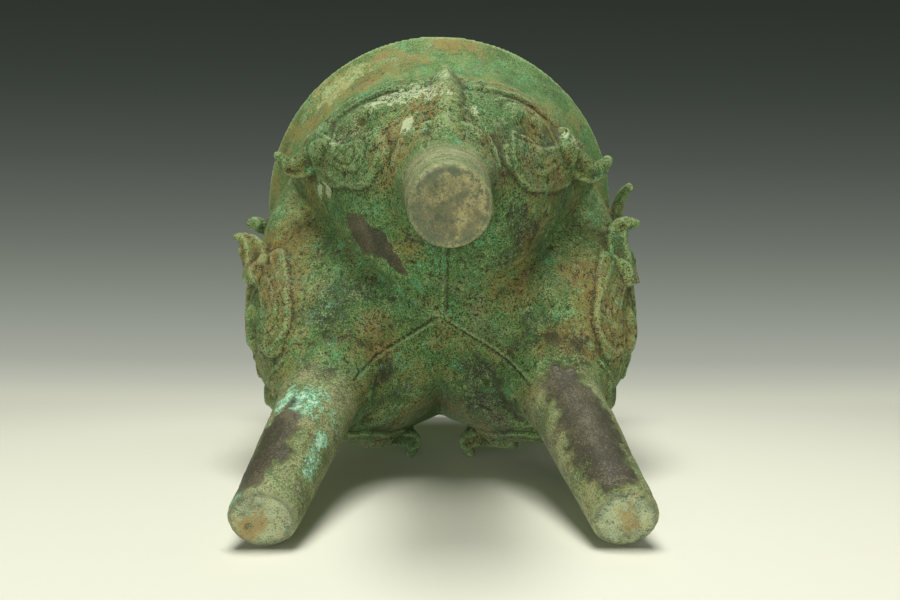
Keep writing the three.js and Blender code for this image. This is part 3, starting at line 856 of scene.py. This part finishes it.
def patina_material():
    """Granular green and ochre crust over dark bronze, with painted shade in recesses, pits and under the
    body
    """
    n = Nodes("patinated_bronze")
    broad = n.noise(42, 3, 0.55, 1.0, 0.4)
    patches = n.noise(13, 4, 0.6, 2.0, 0.6)
    blotches = n.noise(8, 3, 0.6, 11.0, 0.4)
    mottle = n.noise(1.7, 3, 0.75, 3.0)
    grain = n.noise(0.55, 2, 0.7, 4.0)
    grain_two = n.noise(0.68, 2, 0.7, 5.0)
    specks = n.noise(0.62, 2, 0.6, 6.0)
    wear_and_recess_shade = n.attribute("wear_and_recess_shade")
    crust = n.attribute("crust")

    def field(*parts, start=0.5):
        """Sum of noises round zero, each times its share, on top of a start"""
        total = start
        for source, share in parts:
            total = n.math("MULTIPLY_ADD", n.math("SUBTRACT", source, 0.5), share, total)
        return total

    def mask(name, amount, *parts):
        """An attribute times an amount, broken up by noises"""
        return field(*parts, start=n.math("MULTIPLY", n.attribute(name), amount))

    def over(base, value, low, high, tone, share=1.0):
        """A tone over the base where a value goes from low to high, at most by the share"""
        return n.blend(n.step(value, low, high, share), base, seen(*tone))

    colour = over(seen(*DARK_GREEN), field((patches, 1.2), (grain, 3.0)), 0.28, 0.70, MID_GREEN)
    colour = over(colour, field((mottle, 0.9), (grain_two, 3.0)), 0.64, 1.02, PALE_GREEN, 0.6)
    colour = over(colour, field((blotches, 2.4), (grain, 1.6)), 0.66, 0.88, BRIGHT_GREEN, 0.75)
    rusty = mask("ochre", 0.40, (broad, 2.5), (patches, 1.5), (mottle, 0.5), (grain_two, 3.2))
    rusty = n.math("ADD", rusty, 0.5)
    colour = over(colour, rusty, 0.50, 0.90, OCHRE, 0.75)
    colour = over(colour, rusty, 0.90, 1.22, RUST, 0.85)
    # Painted shade under the body, mottled grey, and deeper where it is strongest
    underside_shade = mask("underside_shade", 0.42, (n.noise(17, 4, 0.65, 7.0, 0.5), 1.8), (mottle, 1.2), (grain, 3.0))
    underside_shade = n.math("ADD", underside_shade, 0.42)
    colour = over(colour, underside_shade, 0.62, 0.96, PAINTED_SHADE_GREY, 0.85)
    grey = field((n.noise(24, 4, 0.6, 8.0), 2.2), (grain_two, 1.4))
    colour = over(colour, grey, 0.66, 0.90, GREY_GREEN, 0.6)

    # Painted shade: brown darkening where the surface is hollow; paler worn green where it bulges
    colour = over(colour, field((wear_and_recess_shade, 1.0), (grain, 1.2)), 0.40, 0.20, RECESS_SHADE_BROWN, 0.8)
    colour = over(colour, field((wear_and_recess_shade, 1.0), (grain_two, 1.6)), 0.66, 1.0, WORN_GREEN, 0.7)
    # Deepest painted shade under the body
    colour = over(colour, underside_shade, 0.86, 1.30, DEEP_PAINTED_SHADE, 0.7)
    dots = n.math("MULTIPLY", n.step(field((specks, 1.0), (patches, 0.4)), 0.54, 0.66), crust)
    colour = n.blend(n.math("MULTIPLY", dots, 0.85), colour, seen(*DOT_BLACK))
    colour = n.blend(n.math("MULTIPLY", n.attribute("leg"), 0.3), colour, seen(*LEG_OLIVE))
    leg_pale = mask("leg", 0.52, (patches, 1.8), (mottle, 2.0), (grain, 3.0))
    colour = over(colour, leg_pale, 0.36, 0.84, LEG_PALE, 0.75)
    leg_brown = mask("leg", 0.5, (blotches, 2.4), (mottle, 1.8), (grain_two, 3.0))
    colour = over(colour, leg_brown, 0.46, 1.00, LEG_BROWN, 0.85)
    colour = over(colour, mask("tan", 1.0, (mottle, 1.6), (grain, 1.2)), 0.35, 0.90, TAN, 0.75)
    turquoise = mask("turquoise", 0.9, (blotches, 1.6), (mottle, 2.8), (grain, 2.2))
    colour = over(colour, turquoise, 0.36, 1.00, TURQUOISE_DEEP, 0.8)
    colour = over(colour, turquoise, 0.86, 1.30, TURQUOISE_PALE, 0.8)
    bare = n.step(mask("bare", 1.0, (patches, 1.0), (mottle, 1.5), (grain, 2.0)), 0.30, 0.80)
    metal = over(seen(*BARE_METAL), field((patches, 1.4), (grain, 2.0)), 0.36, 0.80, BARE_WORN, 0.8)
    colour = n.blend(bare, colour, metal)
    colour = over(colour, mask("white", 1.0, (mottle, 1.8), (grain, 2.0)), 0.46, 0.96, WHITE, 0.8)

    tan_spots = field((n.noise(6, 3, 0.6, 9.0, 0.5), 2.0), (grain, 0.8))
    dark_spots = field((n.noise(4, 3, 0.6, 10.0), 2.0), (mottle, 1.2), (grain, 1.4))
    green_spots = field((blotches, 2.8), (mottle, 2.6), (grain, 2.6))
    foot = over(seen(*FOOT_GREY), tan_spots, 0.30, 0.74, FOOT_TAN)
    foot = over(foot, dark_spots, 0.54, 0.92, FOOT_DARK, 0.85)
    foot = over(foot, mask("pale foot", 1.0, (mottle, 2.6), (grain, 2.4)), 0.25, 0.90, FOOT_PALE, 0.85)
    foot = over(foot, green_spots, 0.60, 1.05, FOOT_GREEN, 0.8)
    foot = over(foot, mask("foot edge", 0.9, (mottle, 2.4), (grain, 2.4)), 0.45, 0.95, FOOT_EDGE, 0.8)
    foot = over(foot, mask("ochre", 0.9, (mottle, 2.2), (grain, 1.2)), 0.45, 0.85, FOOT_OCHRE, 0.8)
    colour = n.blend(n.attribute("foot"), colour, foot)

    # Painted shade: pits and the seam grooves near black
    colour = n.blend(n.attribute("pit_and_groove_shade"), colour, seen(*PIT_SHADE_BLACK))
    brown_spots = field((n.noise(20, 4, 0.6, 12.0), 2.0), (mottle, 0.8))
    inner = over(seen(*INNER_GREEN), brown_spots, 0.35, 0.7, INNER_BROWN)
    colour = n.blend(n.attribute("hollow"), colour, inner)

    rough = n.math("MULTIPLY", n.math("SUBTRACT", 1.0, bare), n.math("MULTIPLY_ADD", crust, 0.8, 0.2))
    height = n.math("MULTIPLY_ADD", dots, -0.6, n.math("ADD", grain, n.math("MULTIPLY", grain_two, 0.5)))
    bump = n.add("ShaderNodeBump", {
        "Strength": 0.9, "Distance": 0.5 * MM, "Height": n.math("MULTIPLY", height, rough)})
    roughness = n.math("MULTIPLY_ADD", bare, -0.34, 0.84)
    surface = n.add("ShaderNodeBsdfPrincipled", {
        "Base Color": colour, "Roughness": roughness, "Specular IOR Level": 0.3, "Normal": bump})
    n.add("ShaderNodeOutputMaterial", {"Surface": surface})
    return n.material


# The photograph's frame in pixels, and the lens and the sensor's width that match it, in mm
PHOTO_WIDTH = 900
PHOTO_HEIGHT = 600
LENS = 24
SENSOR = 36
FOCAL_PIXELS = PHOTO_WIDTH * LENS / SENSOR

# Viewpoint of the photograph, in mm: heading from +Y towards +X, climb towards +Z, roll about the view
EYE = np.array([-3.86, -91.83, -142.35])
EYE_HEADING = math.radians(4.347)
EYE_CLIMB = math.radians(69.303)
EYE_ROLL = math.radians(-3.589)
EYE_FORWARD = np.array([
    math.sin(EYE_HEADING) * math.cos(EYE_CLIMB), math.cos(EYE_HEADING) * math.cos(EYE_CLIMB),
    math.sin(EYE_CLIMB)])
LEVEL_RIGHT = np.array([math.cos(EYE_HEADING), -math.sin(EYE_HEADING), 0])
LEVEL_UP = np.cross(LEVEL_RIGHT, EYE_FORWARD)
EYE_RIGHT = math.cos(EYE_ROLL) * LEVEL_RIGHT + math.sin(EYE_ROLL) * LEVEL_UP
EYE_UP = math.cos(EYE_ROLL) * LEVEL_UP - math.sin(EYE_ROLL) * LEVEL_RIGHT


def add_camera():
    camera = bpy.data.objects.new("camera", bpy.data.cameras.new("camera"))
    camera.data.lens = LENS
    camera.data.sensor_width = SENSOR
    camera.data.clip_start = 0.005
    turn = Matrix([(*row,) for row in np.array([EYE_RIGHT, EYE_UP, -EYE_FORWARD]).T.tolist()])
    camera.matrix_world = Matrix.Translation(Vector((EYE * MM).tolist())) @ turn.to_4x4()
    bpy.context.collection.objects.link(camera)
    bpy.context.scene.camera = camera


# Painted light falloff of the backdrop: screen tones from its top down to the floor, by the row at which
# the photograph shows them
PAINTED_FALLOFF_TONES = [
    (-150, (28, 33, 27)), (0, (46, 52, 45)), (80, (56, 62, 56)), (160, (78, 83, 77)),
    (240, (107, 112, 104)), (320, (146, 151, 141)), (360, (166, 169, 158)), (400, (203, 206, 186)),
    (440, (223, 226, 204)),
]

# Rows of the photograph between which the backdrop passes from its glowing painted falloff to lit paper
GLOW_END_ROWS = (385, 425)

# The paper's sizes in mm, along the vessel from below its feet to behind its mouth
PAPER_START = -420
PAPER_BEND_START = 360
PAPER_BEND_RADIUS = 300
PAPER_BEND = math.radians(82)
PAPER_WALL = 1500
PAPER_HALF_WIDTH = 1500
PAPER_GAP = 0.3
PAPER_COLOUR = (0.78, 0.785, 0.665, 1)

# The ground's sizes in mm
GROUND_REACH = 3000
GROUND_DROP = 0.4
GROUND_COLOUR = (0.72, 0.72, 0.62, 1)


def one_sided(n, surface):
    """The surface from its front, and nothing from behind"""
    clear = n.add("ShaderNodeBsdfTransparent", {})
    behind = n.add("ShaderNodeNewGeometry", {}, "Backfacing")
    both = n.add("ShaderNodeMixShader", {0: behind, 1: surface, 2: clear})
    n.add("ShaderNodeOutputMaterial", {"Surface": both})


def paper_profile():
    """Distances along the paper's level part and above it: level, then a bend, then a wall"""
    profile = [(distance, 0.0) for distance in np.linspace(PAPER_START, PAPER_BEND_START, 24)]
    for turn in np.linspace(0, PAPER_BEND, 30)[1:]:
        profile.append((PAPER_BEND_START + PAPER_BEND_RADIUS * math.sin(turn),
                        PAPER_BEND_RADIUS * (1 - math.cos(turn))))
    along, above = profile[-1]
    for run in np.linspace(0, PAPER_WALL, 30)[1:]:
        profile.append((along + run * math.cos(PAPER_BEND), above + run * math.sin(PAPER_BEND)))
    return profile


def photo_row(place):
    """Row of the photograph at which a place shows, or its lowest row for a place behind the camera"""
    offset = place - EYE
    depth = offset @ EYE_FORWARD
    if depth <= 1:
        return PHOTO_HEIGHT
    return PHOTO_HEIGHT / 2 - FOCAL_PIXELS * (offset @ EYE_UP) / depth


def add_paper(corners):
    """Paper that the vessel lies on, and that sweeps up behind its mouth"""
    touch = corners[corners[:, 2] < 2, 1].max()
    high = corners[:, 2] > 60
    lean = ((corners[high, 1] - touch) / corners[high, 2]).max()
    along = np.array([0, lean, 1]) / math.hypot(lean, 1)
    up = np.array([0, -along[2], along[1]])
    start = np.array([0, touch + PAPER_GAP, 0])
    rows, values = zip(*PAINTED_FALLOFF_TONES)
    profile = paper_profile()
    falloff_tones, glows, points = [], [], []
    for distance, height in profile:
        centre = start + distance * along + height * up
        row = photo_row(centre)
        # Painted light falloff: each place on the paper takes the tone the photograph shows at its row
        tone = linear(*(float(np.interp(row, rows, [v[i] for v in values])) for i in range(3)))
        for x in (-PAPER_HALF_WIDTH, PAPER_HALF_WIDTH):
            points.append(centre + (x, 0, 0))
            falloff_tones.append(tone)
            glows.append(float(1 - smooth(*GLOW_END_ROWS, row)))
    faces = [(2 * k, 2 * k + 1, 2 * k + 3, 2 * k + 2) for k in range(len(profile) - 1)]
    mesh = bpy.data.meshes.new("paper")
    mesh.from_pydata((np.array(points) * MM).tolist(), [], faces)
    mesh.update()
    if mesh.polygons[0].normal.y > 0:
        mesh.flip_normals()
    mesh.polygons.foreach_set("use_smooth", [True] * len(mesh.polygons))
    mesh.attributes.new("tone", "FLOAT_COLOR", "POINT").data.foreach_set("color", np.array(falloff_tones).ravel())
    mesh.attributes.new("glow", "FLOAT", "POINT").data.foreach_set("value", glows)
    paper = bpy.data.objects.new("paper", mesh)
    bpy.context.collection.objects.link(paper)

    n = Nodes("paper")
    tone = n.add("ShaderNodeAttribute", {}, "Color", attribute_name="tone")
    lit = n.add("ShaderNodeBsdfDiffuse", {"Color": PAPER_COLOUR})
    # The backdrop glows with painted light falloff, darker towards its top; the level paper near the vessel
    # is lit diffuse paper
    glow = n.add("ShaderNodeEmission", {"Color": tone, "Strength": 1.0})
    one_sided(n, n.add("ShaderNodeMixShader", {0: n.attribute("glow"), 1: lit, 2: glow}))
    paper.data.materials.append(n.material)
    paper.visible_shadow = False


def add_ground():
    """Level ground under the feet, seen from above only"""
    mesh = bpy.data.meshes.new("ground")
    square = np.array([(-1, -1, 0), (1, -1, 0), (1, 1, 0), (-1, 1, 0)])
    mesh.from_pydata((square * GROUND_REACH * MM).tolist(), [], [(0, 1, 2, 3)])
    ground = bpy.data.objects.new("ground", mesh)
    ground.location.z = -GROUND_DROP * MM
    bpy.context.collection.objects.link(ground)
    n = Nodes("ground")
    lit = n.add("ShaderNodeBsdfDiffuse", {"Color": GROUND_COLOUR})
    glow = n.add("ShaderNodeEmission", {"Color": GROUND_COLOUR, "Strength": 0.22})
    one_sided(n, n.add("ShaderNodeAddShader", {0: lit, 1: glow}))
    mesh.materials.append(n.material)
    ground.visible_shadow = False
    ground.visible_diffuse = False
    ground.visible_glossy = False
    return ground


def add_light(name, place, target, size, power, colour=(1, 1, 1)):
    """Round softbox of a size in mm and a power in W, at a place and facing a target, both in mm"""
    light = bpy.data.lights.new(name, "AREA")
    light.shape = "DISK"
    light.size = size * MM
    light.energy = power
    light.color = colour
    made = bpy.data.objects.new(name, light)
    made.location = Vector(place) * MM
    made.rotation_euler = (Vector(target) - Vector(place)).to_track_quat("-Z", "Y").to_euler()
    bpy.context.collection.objects.link(made)
    return made


def spare(light, left_out):
    """Lets a light that stands close to the ground shine on everything but the ground"""
    lit = bpy.data.collections.new("lit by " + light.name)
    for thing in bpy.context.scene.objects:
        if thing.type == "MESH" and thing != left_out:
            lit.objects.link(thing)
    light.light_linking.receiver_collection = lit


vessel = build_vessel()
paint(vessel)
vessel.data.materials.clear()
vessel.data.materials.append(patina_material())
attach(vessel, "root")
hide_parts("vessel")

add_paper(corners_of(vessel.data))
ground = add_ground()
add_camera()
key = add_light("softbox over the vessel", (-40, -900, 160), (0, 60, 60), 460, 10.0, (1.0, 0.99, 0.95))
spare(key, ground)
add_light("softbox beside the camera", (-150, -420, -900), (0, 0, 60), 900, 5.4)
add_light("card low in front of the feet", (0, -10, -330), (0, -10, 90), 160, 0.16)
add_light("softbox over the mouth", (300, -500, 800), (0, 0, 150), 600, 0.8)
add_light("fill from behind", (-500, 800, 500), (0, 0, 120), 800, 3.2)

world = bpy.data.worlds.new("studio")
world.use_nodes = True
world.node_tree.nodes["Background"].inputs["Color"].default_value = (0.62, 0.63, 0.60, 1)
world.node_tree.nodes["Background"].inputs["Strength"].default_value = 0.10
bpy.context.scene.world = world
bpy.context.scene.view_settings.view_transform = "Standard"
